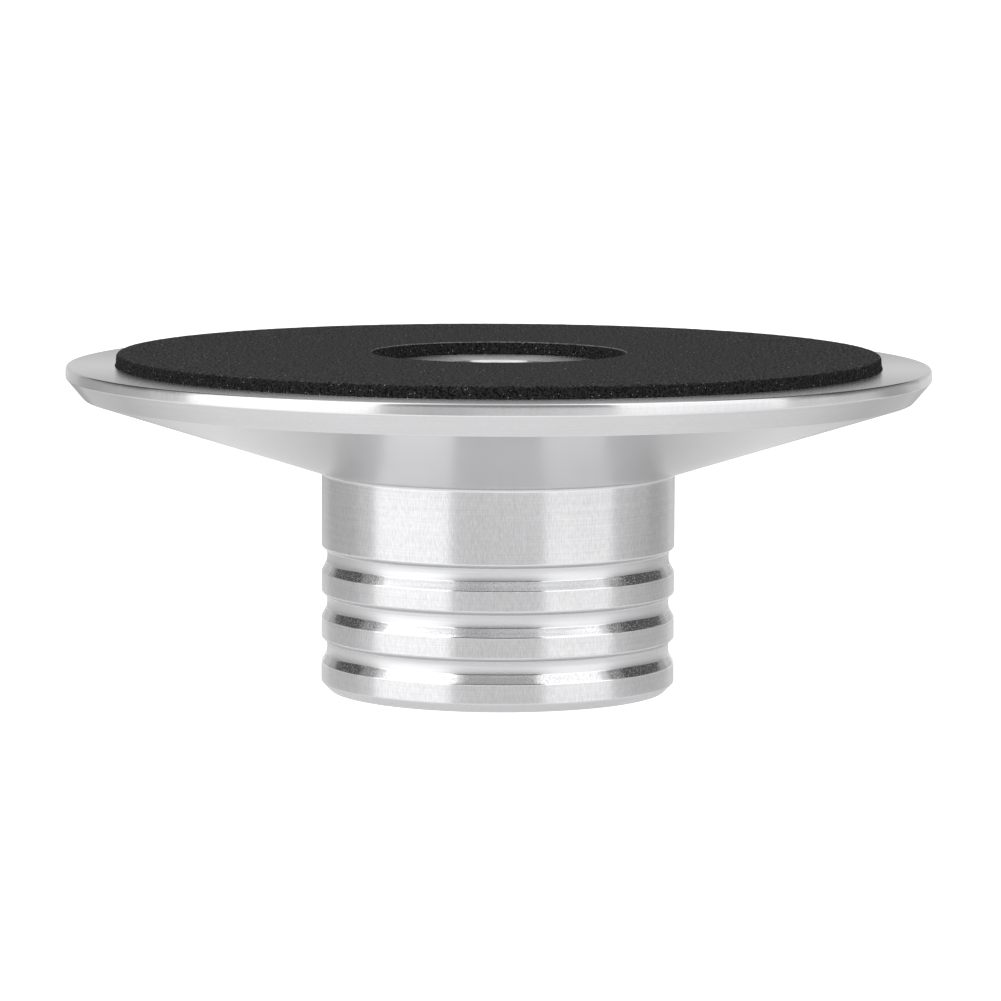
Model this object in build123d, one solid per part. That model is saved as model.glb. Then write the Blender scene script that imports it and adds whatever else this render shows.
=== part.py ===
from build123d import *
from math import radians, tan
import os

# Record weight for a turntable, shown upside down as in the photograph.
# It stands on the end of its knob, with the foam pad on top.
# All sizes are in millimetres, Z is up, and the axis of turning is Z.
# The origin is the centre of the knob's end face.

# The turned body: knob, back cone of the flange, rim.
BODY_HEIGHT = 32.1
KNOB_DIAMETER = 34.8
KNOB_END_CHAMFER = 0.9
FLANGE_DIAMETER = 85.0
RIM_HEIGHT = 1.1
RIM_EDGE = 0.15
RIM_CHAMFER_HEIGHT = 2.0
RIM_CHAMFER_WIDTH = 1.7
CONE_ANGLE = 17.6
CONE_FILLET = 0.4

# The grip grooves near the end of the knob.
GROOVE_COUNT = 3
FIRST_LAND_HEIGHT = 1.9
LAND_HEIGHT = 2.0
GROOVE_WIDTH = 2.5
GROOVE_DEPTH = 0.55
GROOVE_HOLLOW = 0.08
GROOVE_FACET_HEIGHT = 0.88
GROOVE_EDGE = 0.15
GROOVE_SHOULDER = 0.35

# The blind bore for the turntable's spindle, drilled from the flange face.
SPINDLE_DIAMETER = 7.1
SPINDLE_CLEARANCE = 0.2
BORE_DEPTH = 20.0
COUNTERSINK_DIAMETER = 12.0
DRILL_POINT_ANGLE = 118.0

# The self-adhesive foam ring on the flange face.
PAD_THICKNESS = 1.2
PAD_DIAMETER = 75.0
PAD_HOLE_DIAMETER = 25.0

# Values that follow from the sizes above.
KNOB_RADIUS = KNOB_DIAMETER / 2
FLANGE_RADIUS = FLANGE_DIAMETER / 2
BORE_RADIUS = (SPINDLE_DIAMETER + SPINDLE_CLEARANCE) / 2
RIM_BOTTOM_Z = BODY_HEIGHT - RIM_HEIGHT
CONE_OUTER_RADIUS = FLANGE_RADIUS - RIM_CHAMFER_WIDTH
CONE_OUTER_Z = RIM_BOTTOM_Z - RIM_CHAMFER_HEIGHT
CONE_INNER_Z = CONE_OUTER_Z - (CONE_OUTER_RADIUS - KNOB_RADIUS) * tan(radians(CONE_ANGLE))
FIRST_GROOVE_Z = KNOB_END_CHAMFER + FIRST_LAND_HEIGHT
GROOVE_PITCH = LAND_HEIGHT + GROOVE_WIDTH


def outer_profile():
    """Half section of the turned blank, drawn in the XZ plane."""
    with BuildSketch(Plane.XZ) as sketch:
        with BuildLine():
            Polyline(
                (0, 0),
                (KNOB_RADIUS - KNOB_END_CHAMFER, 0),
                (KNOB_RADIUS, KNOB_END_CHAMFER),
                (KNOB_RADIUS, CONE_INNER_Z),
                (CONE_OUTER_RADIUS, CONE_OUTER_Z),
                (FLANGE_RADIUS, RIM_BOTTOM_Z),
                (FLANGE_RADIUS, BODY_HEIGHT - RIM_EDGE),
                (FLANGE_RADIUS - RIM_EDGE, BODY_HEIGHT),
                (0, BODY_HEIGHT),
                close=True,
            )
        make_face()
        corner = Vector(KNOB_RADIUS, 0, CONE_INNER_Z)
        fillet(sketch.vertices().sort_by_distance(corner)[0], CONE_FILLET)
    return sketch.sketch


def groove_profile(bottom_z):
    """Section of one grip groove.

    From the top: a small bevel, a shoulder, a hollow floor that runs down
    to a crease, and a flat facet that comes out to the land below.
    """
    top_z = bottom_z + GROOVE_WIDTH
    shoulder_z = top_z - GROOVE_SHOULDER
    crease_z = bottom_z + GROOVE_FACET_HEIGHT
    floor_radius = KNOB_RADIUS - GROOVE_DEPTH
    crease_radius = floor_radius + GROOVE_HOLLOW
    outside_radius = KNOB_RADIUS + GROOVE_EDGE
    with BuildSketch(Plane.XZ) as sketch:
        with BuildLine():
            Line((outside_radius, top_z), (KNOB_RADIUS, top_z))
            Line((KNOB_RADIUS, top_z), (KNOB_RADIUS - GROOVE_EDGE, top_z - GROOVE_EDGE))
            Line((KNOB_RADIUS - GROOVE_EDGE, top_z - GROOVE_EDGE), (crease_radius, shoulder_z))
            ThreePointArc(
                (crease_radius, shoulder_z),
                (floor_radius, (shoulder_z + crease_z) / 2),
                (crease_radius, crease_z),
            )
            Line((crease_radius, crease_z), (KNOB_RADIUS, bottom_z))
            Line((KNOB_RADIUS, bottom_z), (outside_radius, bottom_z))
            Line((outside_radius, bottom_z), (outside_radius, top_z))
        make_face()
    return sketch.sketch


def bore_profile():
    """Half section of the blind bore: countersink, wall and drill point."""
    floor_z = BODY_HEIGHT - BORE_DEPTH
    point_z = floor_z - BORE_RADIUS / tan(radians(DRILL_POINT_ANGLE / 2))
    mouth_radius = COUNTERSINK_DIAMETER / 2
    countersink_z = BODY_HEIGHT - (mouth_radius - BORE_RADIUS)
    with BuildSketch(Plane.XZ) as sketch:
        with BuildLine():
            Polyline(
                (0, point_z),
                (BORE_RADIUS, floor_z),
                (BORE_RADIUS, countersink_z),
                (mouth_radius, BODY_HEIGHT),
                (0, BODY_HEIGHT),
                close=True,
            )
        make_face()
    return sketch.sketch


def turned_body():
    """Knob, flange and rim, turned as one piece from solid aluminium."""
    body = revolve(outer_profile(), Axis.Z)
    for index in range(GROOVE_COUNT):
        bottom_z = FIRST_GROOVE_Z + index * GROOVE_PITCH
        body -= revolve(groove_profile(bottom_z), Axis.Z)
    body -= revolve(bore_profile(), Axis.Z)
    return body


def foam_pad():
    """Flat foam ring with a round hole, stuck on the flange face."""
    with BuildPart() as pad:
        with BuildSketch(Plane.XY.offset(BODY_HEIGHT)):
            Circle(PAD_DIAMETER / 2)
            Circle(PAD_HOLE_DIAMETER / 2, mode=Mode.SUBTRACT)
        extrude(amount=PAD_THICKNESS)
    return pad.part


os.makedirs("parts", exist_ok=True)
export_step(turned_body(), "parts/turned_body.step")
export_step(foam_pad(), "parts/foam_pad.step")
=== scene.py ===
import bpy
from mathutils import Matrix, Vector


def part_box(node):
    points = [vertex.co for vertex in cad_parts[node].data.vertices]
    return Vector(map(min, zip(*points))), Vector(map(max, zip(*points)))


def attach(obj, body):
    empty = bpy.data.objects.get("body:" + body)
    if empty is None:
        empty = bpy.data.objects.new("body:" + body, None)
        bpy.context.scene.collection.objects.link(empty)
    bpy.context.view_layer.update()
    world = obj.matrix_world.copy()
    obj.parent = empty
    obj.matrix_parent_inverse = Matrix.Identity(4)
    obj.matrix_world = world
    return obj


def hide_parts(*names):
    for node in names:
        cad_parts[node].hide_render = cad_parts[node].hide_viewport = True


bl_info = {
    "name": "Record Weight",
    "version": (1, 0, 0),
    "blender": (4, 5, 0),
    "location": "3D View > Sidebar > Record Weight",
    "description": "Turned aluminium record weight with a foam ring, on a white studio table",
    "category": "Object",
}

from math import atan2, cos, hypot, pi, radians, remainder, sin, tan

import bmesh
import bpy
from bpy.props import (
    FloatProperty,
    FloatVectorProperty,
    IntProperty,
    PointerProperty,
)
from mathutils import Matrix, Vector, noise

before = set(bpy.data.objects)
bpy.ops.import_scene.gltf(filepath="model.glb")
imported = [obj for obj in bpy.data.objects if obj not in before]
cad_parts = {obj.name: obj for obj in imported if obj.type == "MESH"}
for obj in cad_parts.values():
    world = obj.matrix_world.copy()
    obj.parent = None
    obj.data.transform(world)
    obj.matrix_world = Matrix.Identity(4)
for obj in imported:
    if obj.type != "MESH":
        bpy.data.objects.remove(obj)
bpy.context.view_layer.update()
_, BODY_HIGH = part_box("turned_body")
PAD_LOW, PAD_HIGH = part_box("foam_pad")

MM = 0.001
MICRON = 1e-6
WHITE = (1.0, 1.0, 1.0, 1.0)

# A full turn is one sector repeated, and vertices closer than MERGE become one
SECTORS = 12
MERGE = 1e-7


# The turned body's fixed values

# How far the roundings of its corners reach
SOFT = 0.07 * MM
CRISP = 0.04 * MM
CREASE_ROUND = 0.05 * MM
HOLLOW_ROUND = 0.55 * MM
LAND_ROUND = 0.09 * MM
RIM_ROUND = 0.12 * MM
FACE_ROUND = 0.02 * MM

# Where the rim's upper bevel bends, as shares of its width
BEND_IN, BEND_DOWN = 0.48, 0.62

DRILL_HALF_ANGLE = radians(59.0)

# Slack for telling one surface of the body from the next
SLACK = 0.02 * MM
FINE_SLACK = 0.01 * MM
LEAST_SLACK = 0.001 * MM
# Distance from the knob beyond which the cone's fillet gets darker metal, painted shade in its
# corner
PAINTED_SHADE_FROM = 0.13 * MM
EDGE_REACH = 0.1 * MM
RIM_EDGE_SLOPES = (0.45, 0.95)
FACET_SLOPE = 0.3

# Relief in the metal: its size, its height and how much it darkens
RINGS = (0.12 * MM, 0.6 * MICRON, 0.1)
FAINT_RINGS = (0.12 * MM, 0.6 * MICRON, 0.04)
COARSE_RINGS = (0.2 * MM, 6 * MICRON, 0.12)
GRIT = (0.11 * MM, 0.3 * MICRON, 0.04)
FINE_GRIT = (0.11 * MM, 0.1 * MICRON, 0.03)
COARSE_GRIT = (0.15 * MM, 2.5 * MICRON, 0.05)
STREAKS = (0.09 * MM, 0.4 * MICRON, 0.21)
SOFT_STREAKS = (0.2 * MM, 0.1 * MICRON, 0.05)
NO_STREAKS = (0.24 * MM, 0.0, 0.0)

# Change of the rings' pattern round the axis, and of a streak along the profile
RING_DRIFT = 60.0
STREAK_STRETCH = 0.15

# The part of a noise pattern over which a tone or a roughness changes
PATTERN = (0.3, 0.7)
UPPER_PATTERN = (0.5, 0.64)

# Name, share of the metal's colour, pattern and roughness, anisotropy, relief
METALS = (
    ("knob_metal", 1.0, PATTERN, (0.31, 0.35), 1.0, RINGS, GRIT, STREAKS),
    ("facet_metal", 0.98, UPPER_PATTERN, (0.10, 0.45), 0.6, COARSE_RINGS, COARSE_GRIT, NO_STREAKS),
    ("face_metal", 1.0, PATTERN, (0.19, 0.22), 1.0, FAINT_RINGS, GRIT, SOFT_STREAKS),
    ("bore_metal", 1.0, PATTERN, (0.32, 0.38), 0.5, RINGS, GRIT, NO_STREAKS),
    ("cone_metal", 1.0, PATTERN, (0.15, 0.18), 1.0, FAINT_RINGS, GRIT, SOFT_STREAKS),
    # The rim's metal is the aluminium made darker: painted shade that dims the reflections in the
    # rim, the chamfers and the countersink
    ("rim_metal", 0.91, PATTERN, (0.19, 0.23), 1.0, FAINT_RINGS, GRIT, SOFT_STREAKS),
    ("groove_metal", 0.9, PATTERN, (0.3, 0.34), 0.4, RINGS, FINE_GRIT, NO_STREAKS),
    # Darker aluminium for the cone's fillet corner: painted shade in the corner
    ("corner_metal", 0.72, PATTERN, (0.2, 0.2), 1.0, RINGS, GRIT, NO_STREAKS),
    ("edge_metal", 1.0, PATTERN, (0.1, 0.12), 0.5, RINGS, FINE_GRIT, NO_STREAKS),
)
KNOB, FACET, FACE, BORE, CONE, RIM_PAINTED_DARKER, GROOVE, PAINTED_CORNER_SHADE, EDGE = range(len(METALS))


# The foam ring's fixed values

# The lip round its hole
LIP_WIDTH = 0.08 * MM
LIP_DROP = 0.1 * MM
LIP_ROUND = 0.06 * MM
LIP_PALER = 3.5

# Its unevenness: near the cut edges in full, elsewhere a share of it
CUT_REACH = 0.4 * MM
SKIN_SHARE = 0.3
LIFT_SHARE = 0.5
PUSH_SIZE, LIFT_SIZE = 0.7 * MM, 0.9 * MM
LIFT_OFFSET = Vector((7, 3, 1))

# Which edges of its half section are cut, and into how many
LONG_EDGE, LONG_EDGE_CUTS = 1.5 * MM, 24
WALL_EDGE, WALL_EDGE_CUTS = 0.3 * MM, 5

SKIN_SLOPE = 0.7
SKIN, CUT_EDGE, HOLE_LIP = range(3)


# The stage's fixed values

# The camera's rise over the pad, its tilt down, yaw and roll, in degrees
CAMERA_ANGLES = (4.7155, 6.2449, 0.0239, 0.2636)

TABLE_HALF = 6.0
TABLE_GLOSS = 0.3

SIDE_BOX_DISTANCE = 0.8
SIDE_BOX_LOW, SIDE_BOX_HIGH = 0.02, 1.3
TOP_BOX_SIZE, TOP_BOX_HEIGHT = 0.9, 1.1

# Directions are measured from the camera's side, to the right positive, in degrees.
# A card has a name, a grey, the directions and the heights that it fills
CARD_DISTANCE = 1.6
CARD_RISE_STEPS, CARD_SWEEP_STEPS = 12, 24
CARDS = (
    ("front_low_card", 0.92, -31, 31, 1, 14),
    ("front_dark_card", 0.10, -31, 31, 14, 36),
    ("front_high_card", 0.48, -26.5, 29, 36, 80),
    ("front_left_high_card", 0.9, -31, -26.5, 36, 80),
    ("front_right_high_card", 0.86, 29, 31, 36, 80),
    ("right_near_low_card", 0.58, 79.5, 97, 0.3, 12),
    ("right_low_card", 0.42, 97, 146, 0.3, 12),
    ("right_edge_card", 0.8, 79.5, 86, 12, 80),
    ("right_grey_card", 0.3, 86, 97, 12, 62),
    ("right_dark_card", 0.10, 97, 146, 12, 62),
    ("back_low_card", 0.62, 146, 214, 0.3, 12),
    ("back_dark_card", 0.5, 146, 214, 12, 62),
    ("left_low_card", 0.45, 214, 257, 0.3, 12),
    ("left_near_low_card", 0.66, 257, 273, 0.3, 12),
    ("left_dark_card", 0.10, 214, 253, 12, 62),
    ("left_grey_card", 0.34, 253, 266, 12, 62),
    ("left_edge_card", 0.8, 266, 273, 12, 80),
)

# Painted light and shade in the table's glow away from the weight, by direction, which only
# reflections see
PAINTED_TABLE_TONES = (
    (-180, 0.6), (-128, 0.3), (-116, 0.45), (-105, 0.5), (-97, 0.58), (-87, 0.62), (-82, 1.0),
    (-33, 1.0), (-25, 0.28), (-16, 0.15), (-9, 0.2), (-3, 0.6), (4, 0.65), (10, 0.58), (19, 0.6),
    (29, 0.74), (39, 0.78), (49, 0.64), (60, 0.54), (67, 0.56), (75, 0.78), (86, 0.95),
    (110, 0.96), (112, 0.4), (127, 0.4), (130, 0.78), (180, 0.6),
)


# Sizes, colours and light that a user would change


def length(name, description, default):
    return FloatProperty(
        name=name,
        description=description,
        default=default,
        min=0.0,
        precision=5,
        unit="LENGTH",
        subtype="DISTANCE",
    )


def colour(name, description, default):
    return FloatVectorProperty(
        name=name,
        description=description,
        default=default,
        size=3,
        min=0.0,
        max=1.0,
        subtype="COLOR",
    )


class TurnedBodySettings(bpy.types.PropertyGroup):
    height: length("Height", "Knob end to flange face", BODY_HIGH.z)
    flange_radius: length("Flange radius", "Radius of the rim", BODY_HIGH.x)
    knob_radius: length("Knob radius", "Radius of the grip", 17.4 * MM)
    end_chamfer: length("End chamfer", "Chamfer of the knob's end", 0.9 * MM)
    first_land: length("First land", "Band below the lowest groove", 1.9 * MM)
    land: length("Land", "Band between two grooves", 2.0 * MM)
    groove_count: IntProperty(
        name="Grooves", description="Number of grip grooves", default=3, min=0
    )
    groove_width: length("Groove width", "Height of one groove", 2.5 * MM)
    groove_depth: length("Groove depth", "Depth at its hollow floor", 0.55 * MM)
    groove_hollow: length("Groove hollow", "How hollow the floor is", 0.08 * MM)
    facet_height: length("Facet height", "Flat that leads out of it", 0.88 * MM)
    groove_edge: length("Groove edge", "Bevel of its upper edge", 0.15 * MM)
    shoulder: length("Shoulder", "Upper edge to hollow floor", 0.35 * MM)
    rim_height: length("Rim height", "Upright band of the rim", 1.1 * MM)
    rim_edge: length("Rim edge", "Width of the rim's upper bevel", 0.145 * MM)
    rim_edge_height: length("Rim edge height", "Height of that bevel", 0.32 * MM)
    rim_chamfer_height: length("Rim chamfer height", "Height of its chamfer", 2.0 * MM)
    rim_chamfer_width: length("Rim chamfer width", "Width of its chamfer", 1.7 * MM)
    cone_fillet: length("Cone fillet", "Reach of the cone's fillet", 0.28 * MM)
    cone_angle: FloatProperty(
        name="Cone angle",
        description="Slope of the flange's back",
        default=radians(17.6),
        subtype="ANGLE",
    )
    bore_radius: length("Bore radius", "Radius of the spindle bore", 3.65 * MM)
    bore_depth: length("Bore depth", "Depth at full radius", 20.0 * MM)
    countersink: length("Countersink", "Radius of its mouth", 6.0 * MM)
    steps: IntProperty(
        name="Steps", description="Steps of the full turn", default=360, min=24
    )
    metal: colour("Metal", "Colour of the turned metal", (0.76, 0.76, 0.77))


class FoamPadSettings(bpy.types.PropertyGroup):
    radius: length("Radius", "Outer radius of the ring", PAD_HIGH.x)
    hole_radius: length("Hole radius", "Radius of the hole", 12.5 * MM)
    low: length("Underside", "Height of its underside", PAD_LOW.z)
    high: length("Top", "Height of its top", PAD_HIGH.z)
    foot: length("Foot", "How far its cut edge spreads at the foot", 0.18 * MM)
    crown: length("Crown", "Rise of the top at the hole", 0.1 * MM)
    ragged: length("Ragged edge", "Unevenness of the cut edges", 0.035 * MM)
    steps: IntProperty(
        name="Steps", description="Steps of the full turn", default=720, min=24
    )
    foam: colour("Foam", "Colour of the foam's skin", (0.044, 0.044, 0.046))
    cut_foam: colour("Cut foam", "Colour of its cut edges", (0.022, 0.022, 0.022))


class StageSettings(bpy.types.PropertyGroup):
    left_light: FloatProperty(
        name="Left light", description="Radiance of the left soft box", default=0.68
    )
    right_light: FloatProperty(
        name="Right light", description="Radiance of the right soft box", default=0.42
    )
    top_light: FloatProperty(
        name="Top light", description="Radiance of the top soft box", default=0.3
    )
    table: colour("Table", "Colour of the table", (0.45, 0.45, 0.45))
    distance: length("Camera distance", "From the pad's centre", 0.5444)
    lens: FloatProperty(name="Lens", description="Focal length", default=199.09)


# Helpers for meshes


def finish_piece(name, bm, smooth=True):
    """Puts a bmesh into a new object at the origin."""
    bmesh.ops.recalc_face_normals(bm, faces=bm.faces)
    mesh = bpy.data.meshes.new(name)
    bm.to_mesh(mesh)
    bm.free()
    if smooth:
        mesh.shade_smooth()
    piece = bpy.data.objects.new(name, mesh)
    bpy.context.scene.collection.objects.link(piece)
    return piece


def draw_profile(bm, corners):
    """Draws a half section as a wire and rounds its corners.

    Each corner is its radius, its height and how far its rounding reaches.
    """
    verts = [bm.verts.new((r, 0.0, z)) for r, z, _ in corners]
    for start, end in zip(verts, verts[1:]):
        bm.edges.new((start, end))
    for reach in sorted({c[2] for c in corners if c[2] > 0}):
        chosen = [v for v, c in zip(verts, corners) if c[2] == reach]
        bmesh.ops.bevel(
            bm,
            geom=chosen,
            offset=reach,
            offset_type="OFFSET",
            segments=4,
            profile=0.5,
            affect="VERTICES",
            clamp_overlap=True,
            material=-1,
        )


def spin_about_z(bm, geom, angle, steps, copies=False):
    bmesh.ops.spin(
        bm,
        geom=geom,
        cent=(0, 0, 0),
        axis=(0, 0, 1),
        angle=angle,
        steps=steps,
        use_duplicate=copies,
    )


def turn_profile(bm, steps):
    """Turns the wire about Z into a closed skin, one sector and then the rest."""
    sector = 2 * pi / SECTORS
    spin_about_z(bm, bm.verts[:] + bm.edges[:], sector, steps // SECTORS)
    one_sector = bm.verts[:] + bm.edges[:] + bm.faces[:]
    spin_about_z(bm, one_sector, 2 * pi - sector, SECTORS - 1, copies=True)
    bmesh.ops.remove_doubles(bm, verts=bm.verts, dist=MERGE)


def map_round(bm):
    """Gives the skin a UV map that runs round the axis."""
    uv = bm.loops.layers.uv.new("turned")
    for face in bm.faces:
        middle = face.calc_center_median()
        start = atan2(middle.y, middle.x)
        for loop in face.loops:
            place = loop.vert.co
            radius = hypot(place.x, place.y)
            turn = start
            if radius > MICRON:
                turn += remainder(atan2(place.y, place.x) - start, 2 * pi)
            loop[uv].uv = (turn, (place.z + 0.5 * radius) / MM)


def faces_up(face):
    """Whether a face of a turned skin looks up, whichever way its normal points."""
    middle = face.calc_center_median()
    outward = Vector((middle.x, middle.y, 0)).normalized()
    normal = face.normal if face.normal.dot(outward) > 0 else -face.normal
    return normal.z > 0


# Helpers for materials


def new_material(name):
    material = bpy.data.materials.new(name)
    material.use_nodes = True
    tree = material.node_tree
    return material, tree, tree.nodes["Principled BSDF"]


def add(tree, kind, **values):
    """Adds a node and sets the inputs that are named."""
    node = tree.nodes.new(kind)
    for key, value in values.items():
        node.inputs[key].default_value = value
    return node


def maths(tree, operation, first, second=None):
    """A maths node on two numbers or sockets, as its output."""
    node = tree.nodes.new("ShaderNodeMath")
    node.operation = operation
    for index, value in enumerate((first, second)):
        if value is None:
            continue
        if isinstance(value, (int, float)):
            node.inputs[index].default_value = value
        else:
            tree.links.new(value, node.inputs[index])
    return node.outputs[0]


def product(tree, first, *others):
    """Numbers or sockets multiplied one after the other."""
    for value in others:
        first = maths(tree, "MULTIPLY", first, value)
    return first


def less(tree, value):
    """One less a number or a socket."""
    return maths(tree, "SUBTRACT", 1.0, value)


def scaled(tint, factor):
    return tuple(factor * value for value in tint)


def toned(tree, tint, tone):
    """A colour multiplied by a tone, as a socket."""
    mix = tree.nodes.new("ShaderNodeMix")
    mix.data_type = "RGBA"
    mix.blend_type = "MULTIPLY"
    mix.inputs["Factor"].default_value = 1.0
    mix.inputs["A"].default_value = (*tint, 1.0)
    tree.links.new(tone, mix.inputs["B"])
    return mix.outputs["Result"]


def object_coordinates(tree):
    """A point's x, y and z, and its distance from the axis of turning."""
    place = tree.nodes.new("ShaderNodeTexCoord")
    parts = tree.nodes.new("ShaderNodeSeparateXYZ")
    tree.links.new(place.outputs["Object"], parts.inputs[0])
    x, y, z = parts.outputs
    squares = maths(tree, "ADD", product(tree, x, x), product(tree, y, y))
    return x, y, z, maths(tree, "SQRT", squares)


def stretched_noise(tree, axes, scales, detail=2.0):
    """Noise over four coordinates, each with its own scale."""
    join = tree.nodes.new("ShaderNodeCombineXYZ")
    pattern = add(tree, "ShaderNodeTexNoise", Scale=1.0, Detail=detail)
    pattern.noise_dimensions = "4D"
    targets = (*join.inputs, pattern.inputs["W"])
    for axis, scale, target in zip(axes, scales, targets):
        tree.links.new(product(tree, axis, scale), target)
    tree.links.new(join.outputs[0], pattern.inputs["Vector"])
    return pattern.outputs["Fac"]


def remap(tree, value, low, high, out_low, out_high, smooth=False):
    """A value's range mapped to another and held at its ends."""
    node = tree.nodes.new("ShaderNodeMapRange")
    if smooth:
        node.interpolation_type = "SMOOTHSTEP"
    tree.links.new(value, node.inputs["Value"])
    node.inputs["From Min"].default_value = low
    node.inputs["From Max"].default_value = high
    node.inputs["To Min"].default_value = out_low
    node.inputs["To Max"].default_value = out_high
    return node.outputs["Result"]


def bumped(tree, pattern, height, normal=None):
    """A normal with a pattern's relief added to it."""
    bump = add(tree, "ShaderNodeBump", Strength=1.0, Distance=height)
    tree.links.new(pattern, bump.inputs["Height"])
    if normal:
        tree.links.new(normal, bump.inputs["Normal"])
    return bump.outputs[0]


def turned_metal(name, tint, grain, roughness, anisotropy, ring, grit, streak):
    """Aluminium fresh from the lathe.

    Rings run round the axis, grit lies everywhere and short streaks run along the
    profile. The roughness goes from its first value to its second over that part
    of the grit's pattern that grain names.
    """
    material, tree, shader = new_material(name)
    links = tree.links
    x, y, z, radius = object_coordinates(tree)
    shader.inputs["Metallic"].default_value = 1.0
    shader.inputs["Anisotropic"].default_value = anisotropy
    shader.inputs["Anisotropic Rotation"].default_value = 0.25
    tangent = tree.nodes.new("ShaderNodeTangent")
    tangent.direction_type = "UV_MAP"
    tangent.uv_map = "turned"
    links.new(tangent.outputs[0], shader.inputs["Tangent"])

    sizes, heights, shares = zip(ring, grit, streak)
    across, each, along = (1 / size for size in sizes)
    turned, level = (radius, z, x, y), (x, y, z, radius)
    rings = stretched_noise(tree, turned, (across, across, RING_DRIFT, RING_DRIFT))
    grains = stretched_noise(tree, level, (each, each, each, 0.0), detail=3.0)
    streaks = stretched_noise(tree, level, (along, along, along * STREAK_STRETCH, 0.0))
    patterns = (rings, grains, streaks)

    tone = 1.0
    for pattern, share in zip(patterns, shares):
        tone = product(tree, remap(tree, pattern, *PATTERN, 1.0 - share, 1.0), tone)
    lift = 1 + sum(shares) / 2
    links.new(toned(tree, scaled(tint, lift), tone), shader.inputs["Base Color"])
    links.new(remap(tree, grains, *grain, *roughness), shader.inputs["Roughness"])

    normal = None
    for pattern, height in zip(patterns, heights):
        normal = bumped(tree, pattern, height, normal)
    links.new(normal, shader.inputs["Normal"])
    return material


# The turned body


def cone_top(s):
    """Height at which the cone meets the rim's chamfer."""
    return s.height - s.rim_height - s.rim_chamfer_height


def crease_radius(s):
    """Radius of the crease between a groove's facet and its hollow."""
    return s.knob_radius - s.groove_depth + s.groove_hollow


def body_corners(s):
    """Corners of the half section, from the knob's end round to the bore."""
    cone_r = s.flange_radius - s.rim_chamfer_width
    cone_z = cone_top(s)
    knob_z = cone_z - (cone_r - s.knob_radius) * tan(s.cone_angle)
    corners = [
        (0.0, 0.0, 0.0),
        (s.knob_radius - s.end_chamfer, 0.0, SOFT),
        (s.knob_radius, s.end_chamfer, SOFT),
    ]
    crease_r = crease_radius(s)
    for index in range(s.groove_count):
        bottom = s.end_chamfer + s.first_land + index * (s.land + s.groove_width)
        top = bottom + s.groove_width
        crease_z = bottom + s.facet_height
        shoulder_z = top - s.shoulder
        hollow_r, hollow_z = crease_r - 2 * s.groove_hollow, (crease_z + shoulder_z) / 2
        corners += [
            (s.knob_radius, bottom, SOFT),
            (crease_r, crease_z, CREASE_ROUND),
            (hollow_r, hollow_z, HOLLOW_ROUND),
            (crease_r, shoulder_z, SOFT),
            (s.knob_radius - s.groove_edge, top - s.groove_edge, CRISP),
            (s.knob_radius, top, LAND_ROUND),
        ]
    bend_r = s.flange_radius - BEND_IN * s.rim_edge
    bend_z = s.height - BEND_DOWN * s.rim_edge
    bore_z = s.height - s.bore_depth
    corners += [
        (s.knob_radius, knob_z, s.cone_fillet),
        (cone_r, cone_z, SOFT),
        (s.flange_radius, s.height - s.rim_height, SOFT),
        (s.flange_radius, s.height - s.rim_edge_height, RIM_ROUND),
        (bend_r, bend_z, CRISP),
        (s.flange_radius - s.rim_edge, s.height, FACE_ROUND),
        (s.countersink, s.height, CRISP),
        (s.bore_radius, s.height - s.countersink + s.bore_radius, CRISP),
        (s.bore_radius, bore_z, 0.0),
        (0.0, bore_z - s.bore_radius / tan(DRILL_HALF_ANGLE), 0.0),
    ]
    return corners


class WEIGHT_OT_turned_body(bpy.types.Operator):
    """Turn the knob, the flange and the rim as one skin"""

    bl_idname = "weight.turned_body"
    bl_label = "Turned Body"

    def execute(self, context):
        s = context.scene.weight_body
        bm = bmesh.new()
        corners = body_corners(s)
        draw_profile(bm, corners)
        turn_profile(bm, s.steps)
        map_round(bm)
        edges = [c for c in corners if 0 < c[2] < EDGE_REACH and s.countersink < c[0]]
        for face in bm.faces:
            face.material_index = self.metal_of(s, face, edges)

        piece = finish_piece("turned_body_skin", bm)
        for name, share, *look in METALS:
            metal = turned_metal(name, scaled(s.metal, share), *look)
            piece.data.materials.append(metal)
        modifier = piece.modifiers.new("Even normals", "WEIGHTED_NORMAL")
        modifier.mode = "FACE_AREA"
        modifier.weight = 100
        modifier.keep_sharp = False
        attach(piece, "root")
        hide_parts("turned_body")
        return {"FINISHED"}

    def metal_of(self, s, face, edges):
        """Which metal a face has, by where it lies and how it slopes."""
        middle = face.calc_center_median()
        radius = middle.xy.length
        slope = abs(face.normal.z)
        if radius < s.bore_radius + SLACK and middle.z > 1 * MM:
            return BORE
        if any(hypot(radius - r, middle.z - z) < reach for r, z, reach in edges):
            return EDGE
        least, most = RIM_EDGE_SLOPES
        at_rim_edge = (
            middle.z > s.height - s.rim_edge_height
            and radius > s.flange_radius - s.rim_edge
        )
        if at_rim_edge and least < slope < most:
            return EDGE
        if radius < s.countersink and middle.z > s.height / 2:
            return RIM_PAINTED_DARKER
        if middle.z > s.height - SLACK:
            return FACE
        if middle.z > cone_top(s):
            return RIM_PAINTED_DARKER
        if s.height / 2 < middle.z < cone_top(s) and s.knob_radius < radius - LEAST_SLACK:
            if radius >= s.knob_radius + s.cone_fillet - SLACK:
                return CONE
            # Beyond a set distance from the knob the fillet gets darker metal, painted shade in
            # its corner; nearer the knob it gets the edge metal
            return PAINTED_CORNER_SHADE if s.knob_radius + PAINTED_SHADE_FROM < radius else EDGE
        if middle.z < s.end_chamfer:
            return RIM_PAINTED_DARKER
        if middle.z < s.height / 2 and radius < s.knob_radius - SLACK:
            above_crease = crease_radius(s) - FINE_SLACK < radius
            on_facet = above_crease and FACET_SLOPE < slope and faces_up(face)
            return FACET if on_facet else GROOVE
        return KNOB


# The foam ring


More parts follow.
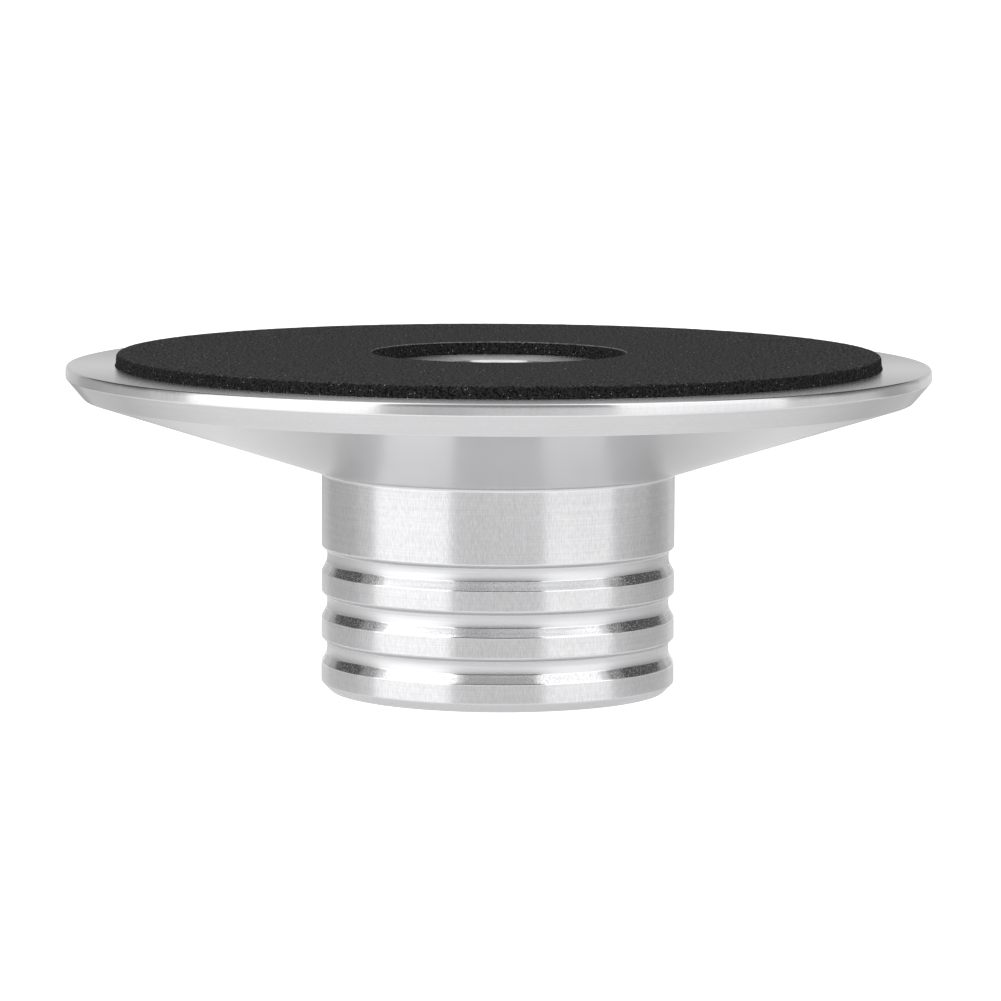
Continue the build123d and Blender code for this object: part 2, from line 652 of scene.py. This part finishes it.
def foam_material(name, tint, grain, specks):
    """Closed cell foam: a fine grain of pores, and specks that catch the light.

    The grain has a size, a contrast and a depth. The specks have a size, a share
    of the cells and a tone.
    """
    material, tree, shader = new_material(name)
    links = tree.links
    grain_size, contrast, depth = grain
    speck_size, speck_share, speck = specks
    place = tree.nodes.new("ShaderNodeTexCoord")
    pores = add(tree, "ShaderNodeTexNoise", Scale=1 / grain_size, Detail=3.0)
    cells = add(tree, "ShaderNodeTexVoronoi", Scale=1 / speck_size)
    for node in (pores, cells):
        links.new(place.outputs["Object"], node.inputs["Vector"])
    tone = remap(tree, pores.outputs["Fac"], 0.35, 0.65, 1 - contrast, 1 + contrast)

    parts = tree.nodes.new("ShaderNodeSeparateColor")
    links.new(cells.outputs["Color"], parts.inputs[0])
    draw, limit = parts.outputs[0], 1 - speck_share
    strength = remap(tree, draw, limit, 1.0, 0.3, 1.0)
    chosen = maths(tree, "GREATER_THAN", draw, limit)
    dot = remap(tree, cells.outputs["Distance"], 0.12, 0.26, 1.0, 0.0)
    specked = tree.nodes.new("ShaderNodeMix")
    specked.data_type = "RGBA"
    links.new(product(tree, strength, chosen, dot), specked.inputs["Factor"])
    links.new(toned(tree, tint, tone), specked.inputs["A"])
    specked.inputs["B"].default_value = (speck, speck, speck, 1.0)
    links.new(specked.outputs["Result"], shader.inputs["Base Color"])
    shader.inputs["Roughness"].default_value = 1.0
    shader.inputs["Specular IOR Level"].default_value = 0.08
    links.new(bumped(tree, pores.outputs["Fac"], depth), shader.inputs["Normal"])
    return material


class WEIGHT_OT_foam_pad(bpy.types.Operator):
    """Cut the foam ring and lay it on the flange face"""

    bl_idname = "weight.foam_pad"
    bl_label = "Foam Ring"

    def execute(self, context):
        s = context.scene.weight_pad
        bm = bmesh.new()
        draw_profile(bm, self.corners(s))
        bmesh.ops.remove_doubles(bm, verts=bm.verts, dist=MERGE)
        self.divide(bm, s)
        turn_profile(bm, s.steps)
        self.roughen(bm, s)
        for face in bm.faces:
            face.normal_update()
            face.material_index = self.foam_of(s, face)

        piece = finish_piece("foam_ring", bm)
        skin, cut, lip = s.foam, s.cut_foam, scaled(s.foam, LIP_PALER)
        for name, tint, grain, specks in (
            ("foam_skin", skin, (0.24 * MM, 1.0, 80 * MICRON), (0.35 * MM, 0.03, 0.8)),
            ("foam_cut_edge", cut, (0.18 * MM, 0.9, 60 * MICRON), (0.22 * MM, 0.15, 0.5)),
            ("foam_hole_lip", lip, (0.16 * MM, 0.7, 30 * MICRON), (0.35 * MM, 0.02, 0.5)),
        ):
            piece.data.materials.append(foam_material(name, tint, grain, specks))
        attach(piece, "root")
        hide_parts("foam_pad")
        return {"FINISHED"}

    def corners(self, s):
        """Corners of the half section: underside, outer edge, crowned top and hole."""
        wall = s.high - s.low
        return [
            (s.hole_radius, s.low, 0.0),
            (s.radius + s.foot, s.low, 0.0),
            (s.radius + s.foot * 0.4, s.low + wall * 0.16, 0.08 * MM),
            (s.radius, s.high, 0.3 * MM),
            (s.hole_radius + 4 * MM, s.high + s.crown * 0.6, 2 * MM),
            (s.hole_radius + LIP_WIDTH, s.high + s.crown, LIP_ROUND),
            (s.hole_radius, s.high + s.crown - LIP_DROP, LIP_ROUND),
            (s.hole_radius, s.low, 0.0),
        ]

    def divide(self, bm, s):
        """Cuts the top and the walls of the half section, so that they can be uneven."""
        half_way = s.low + (s.high - s.low) / 2
        top = [
            edge
            for edge in bm.edges
            if edge.calc_length() > LONG_EDGE and edge.verts[0].co.z > half_way
        ]
        bmesh.ops.subdivide_edges(bm, edges=top, cuts=LONG_EDGE_CUTS)
        walls = [
            edge
            for edge in bm.edges
            if abs(edge.verts[0].co.z - edge.verts[1].co.z) > WALL_EDGE
        ]
        bmesh.ops.subdivide_edges(bm, edges=walls, cuts=WALL_EDGE_CUTS)

    def roughen(self, bm, s):
        """Makes all but the foot uneven, most of all the cut edges."""
        for vert in bm.verts:
            co = vert.co
            if co.z < s.low + MICRON:
                continue
            radius = co.xy.length
            to_cut = min(abs(radius - s.radius), abs(radius - s.hole_radius))
            size = s.ragged if to_cut < CUT_REACH else s.ragged * SKIN_SHARE
            push = noise.noise(co / PUSH_SIZE) * size
            lift = noise.noise(co / LIFT_SIZE + LIFT_OFFSET) * size * LIFT_SHARE
            co.x += co.x / radius * push
            co.y += co.y / radius * push
            co.z += lift

    def foam_of(self, s, face):
        """Which foam a face has: the lip at the hole, the skin or a cut edge."""
        middle = face.calc_center_median()
        above_drop = middle.z > s.high + s.crown - LIP_DROP
        if above_drop and hypot(middle.x, middle.y) < s.hole_radius + LIP_WIDTH:
            return HOLE_LIP
        return SKIN if abs(face.normal.z) > SKIN_SLOPE else CUT_EDGE


# The stage: table, cards, lights and camera


def background_rays(tree):
    """1 on the camera's rays, and 1 on those and on reflected or refracted rays."""
    path = tree.nodes.new("ShaderNodeLightPath")
    camera = path.outputs["Is Camera Ray"]
    seen = maths(tree, "MAXIMUM", camera, path.outputs["Is Glossy Ray"])
    return camera, maths(tree, "MAXIMUM", seen, path.outputs["Is Transmission Ray"])


def glow_material(name, grey):
    material = bpy.data.materials.new(name)
    material.use_nodes = True
    tree = material.node_tree
    tree.nodes.clear()
    glow = add(tree, "ShaderNodeEmission", Color=(grey, grey, grey, 1.0), Strength=1.0)
    out = tree.nodes.new("ShaderNodeOutputMaterial")
    tree.links.new(glow.outputs[0], out.inputs["Surface"])
    return material


def add_card(name, grey, from_deg, to_deg, low_deg, high_deg):
    """A curved card round the table that the camera doesn't see."""
    bm = bmesh.new()
    low, rise = radians(low_deg), radians(high_deg - low_deg)
    corner = Vector((0, -cos(low), sin(low))) * CARD_DISTANCE
    bmesh.ops.spin(
        bm,
        geom=[bm.verts.new(corner)],
        cent=(0, 0, 0),
        axis=(-1, 0, 0),
        angle=rise,
        steps=CARD_RISE_STEPS,
    )
    start = Matrix.Rotation(radians(from_deg), 3, "Z")
    bmesh.ops.rotate(bm, verts=bm.verts, cent=(0, 0, 0), matrix=start)
    sweep = radians(to_deg - from_deg)
    spin_about_z(bm, bm.verts[:] + bm.edges[:], sweep, CARD_SWEEP_STEPS)
    card = finish_piece(name, bm)
    card.data.materials.append(glow_material(name, grey))
    card.visible_camera = False


def add_soft_box(name, width, height, radiance, place):
    """A rectangular light with a given radiance, whatever its size."""
    light = bpy.data.lights.new(name, "AREA")
    light.shape = "RECTANGLE"
    light.size = width
    light.size_y = height
    light.energy = radiance * pi * light.size * light.size_y
    lamp = bpy.data.objects.new(name, light)
    lamp.matrix_world = place
    bpy.context.scene.collection.objects.link(lamp)


class WEIGHT_OT_stage(bpy.types.Operator):
    """Set the table, the soft light and the camera"""

    bl_idname = "weight.stage"
    bl_label = "Stage"

    def execute(self, context):
        s = context.scene.weight_stage
        self.add_table(s)
        self.add_world()
        self.add_lights(s)
        self.add_camera(s)
        context.scene.view_settings.view_transform = "Standard"
        return {"FINISHED"}

    def add_table(self, s):
        """A table that is plain white to the camera; to all other rays it glows with painted
        light, painted shade and painted shadows of the weight.
        """
        bm = bmesh.new()
        bmesh.ops.create_grid(bm, x_segments=4, y_segments=4, size=TABLE_HALF)
        table = finish_piece("table", bm, smooth=False)
        material, tree, shader = new_material("table_white")
        camera, seen = background_rays(tree)
        painted_shades = self.painted_shades_of_table(tree)

        # Reflected rays see a glow times every painted shade; the table's colour also takes the
        # painted tones and the painted shadows behind the knob and round its foot; the camera sees
        # plain white
        reflected = maths(tree, "SUBTRACT", seen, camera)
        glow = maths(tree, "ADD", product(tree, reflected, *painted_shades.values()), camera)
        others = less(tree, camera)
        painted_shade_in_colour = less(tree, product(tree, painted_shades["outer"], painted_shades["knob"], painted_shades["foot"]))
        base = less(tree, product(tree, painted_shade_in_colour, others))
        gloss = product(tree, others, TABLE_GLOSS)

        tree.links.new(toned(tree, s.table, base), shader.inputs["Base Color"])
        shader.inputs["Roughness"].default_value = 0.12
        shader.inputs["Emission Color"].default_value = WHITE
        tree.links.new(gloss, shader.inputs["Specular IOR Level"])
        tree.links.new(glow, shader.inputs["Emission Strength"])
        table.data.materials.append(material)

    def painted_shades_of_table(self, tree):
        """Painted light, painted shade and painted shadows in the table's glow, each a share by
        name, over distances in millimetres from the axis.
        """
        x, y, _, reach = object_coordinates(tree)
        aside = maths(tree, "ABSOLUTE", x)
        slant = maths(tree, "ADD", y, product(tree, x, 0.5))

        def fade(value, low, high, out_low, out_high, smooth=False):
            return remap(tree, value, low * MM, high * MM, out_low, out_high, smooth)

        painted_fade_in_front = fade(slant, -300, -130, 0.05, 1.0)
        painted_fade_to_the_side = fade(aside, 110, 150, 0.0, 1.0)
        painted_shade_by_the_flank = (fade(aside, 35, 50, 0.0, 0.5), fade(aside, 75, 100, 1.0, 0.0))
        # Each share is painted: near, behind and far are painted shade in front of, behind and
        # away from the weight, tilt is painted light stronger on the left, flank is painted shade
        # beside the weight, outer is the painted tones round it, knob is the painted shadow behind
        # the knob and foot is the painted contact shadow round the knob's foot
        return {
            "near": fade(y, -70, -30, 0.72, 0.58, smooth=True),
            "behind": fade(y, 30, 70, 1.0, 0.85, smooth=True),
            "far": maths(tree, "MAXIMUM", painted_fade_in_front, painted_fade_to_the_side),
            "tilt": fade(x, -80, 80, 1.06, 0.94),
            "flank": less(tree, product(tree, *painted_shade_by_the_flank, fade(y, -20, 20, 0.0, 1.0))),
            "outer": self.painted_ring_of_table(tree, x, y, reach),
            "knob": less(
                tree, product(tree, fade(aside, 18, 38, 0.32, 0.0), fade(y, 0, 20, 0.0, 1.0))
            ),
            "foot": less(
                tree, product(tree, fade(reach, 18, 30, 0.45, 0.0), fade(y, -10, 10, 0.0, 1.0))
            ),
        }

    def painted_ring_of_table(self, tree, x, y, reach):
        """The painted tones of the table's glow away from the weight, by direction, and 1 near it.
        """
        around = maths(tree, "ARCTAN2", x, product(tree, y, -1.0))
        ramp = tree.nodes.new("ShaderNodeValToRGB")
        steps = ramp.color_ramp.elements
        while len(steps) < len(PAINTED_TABLE_TONES):
            steps.new(0.5)
        for step, (direction, tone) in zip(steps, PAINTED_TABLE_TONES):
            step.position = (direction + 180) / 360
            step.color = (tone, tone, tone, 1.0)
        tree.links.new(remap(tree, around, -pi, pi, 0.0, 1.0), ramp.inputs["Fac"])
        change = maths(tree, "SUBTRACT", ramp.outputs["Color"], 1.0)
        away = remap(tree, reach, 0.11, 0.15, 0.0, 1.0)
        return maths(tree, "ADD", product(tree, change, away), 1.0)

    def add_world(self):
        world = bpy.data.worlds.new("White studio")
        world.use_nodes = True
        shader = world.node_tree.nodes["Background"]
        shader.inputs["Color"].default_value = WHITE
        shader.inputs["Strength"].default_value = 1.0
        bpy.context.scene.world = world

    def add_lights(self, s):
        """Two upright soft boxes beside the camera, one overhead, and the cards."""
        middle = (SIDE_BOX_LOW + SIDE_BOX_HIGH) / 2
        place = Matrix.Translation((0, -SIDE_BOX_DISTANCE, middle))
        upright = Matrix.Rotation(radians(90), 4, "X")
        for name, direction, width, radiance in (
            ("left_soft_box", -59.1, 0.847, s.left_light),
            ("right_soft_box", 55.1, 0.726, s.right_light),
        ):
            turned = Matrix.Rotation(radians(direction), 4, "Z") @ place @ upright
            add_soft_box(name, width, SIDE_BOX_HIGH - SIDE_BOX_LOW, radiance, turned)
        above = Matrix.Translation((0, 0, TOP_BOX_HEIGHT))
        add_soft_box("top_soft_box", TOP_BOX_SIZE, TOP_BOX_SIZE, s.top_light, above)
        for card in CARDS:
            add_card(*card)

    def add_camera(self, s):
        camera = bpy.data.cameras.new("camera")
        camera.sensor_fit = "HORIZONTAL"
        camera.sensor_width = 36.0
        camera.lens = s.lens
        camera.clip_start = 0.01
        camera.clip_end = 30.0
        rise, tilt, yaw, roll = (radians(angle) for angle in CAMERA_ANGLES)
        place = Vector((0, -s.distance * cos(rise), PAD_HIGH.z + s.distance * sin(rise)))
        forward = Vector((sin(yaw) * cos(tilt), cos(yaw) * cos(tilt), -sin(tilt)))
        right = forward.cross(Vector((0, 0, 1))).normalized()
        up = right.cross(forward)
        across = right * cos(roll) + up * sin(roll)
        upward = up * cos(roll) - right * sin(roll)
        turn = Matrix((across, upward, -forward)).transposed()
        holder = bpy.data.objects.new("camera", camera)
        holder.matrix_world = Matrix.Translation(place) @ turn.to_4x4()
        bpy.context.scene.collection.objects.link(holder)
        bpy.context.scene.camera = holder


class WEIGHT_PT_panel(bpy.types.Panel):
    """Lists the pieces of the record weight"""

    bl_label = "Record Weight"
    bl_idname = "WEIGHT_PT_panel"
    bl_space_type = "VIEW_3D"
    bl_region_type = "UI"
    bl_category = "Record Weight"

    def draw(self, context):
        for operator in (WEIGHT_OT_turned_body, WEIGHT_OT_foam_pad, WEIGHT_OT_stage):
            self.layout.operator(operator.bl_idname)


CLASSES = (
    TurnedBodySettings,
    FoamPadSettings,
    StageSettings,
    WEIGHT_OT_turned_body,
    WEIGHT_OT_foam_pad,
    WEIGHT_OT_stage,
    WEIGHT_PT_panel,
)


def register():
    for item in CLASSES:
        bpy.utils.register_class(item)
    bpy.types.Scene.weight_body = PointerProperty(type=TurnedBodySettings)
    bpy.types.Scene.weight_pad = PointerProperty(type=FoamPadSettings)
    bpy.types.Scene.weight_stage = PointerProperty(type=StageSettings)


def unregister():
    del bpy.types.Scene.weight_stage
    del bpy.types.Scene.weight_pad
    del bpy.types.Scene.weight_body
    for item in reversed(CLASSES):
        bpy.utils.unregister_class(item)


def main():
    register()
    bpy.ops.weight.turned_body()
    bpy.ops.weight.foam_pad()
    bpy.ops.weight.stage()


if __name__ == "__main__":
    main()
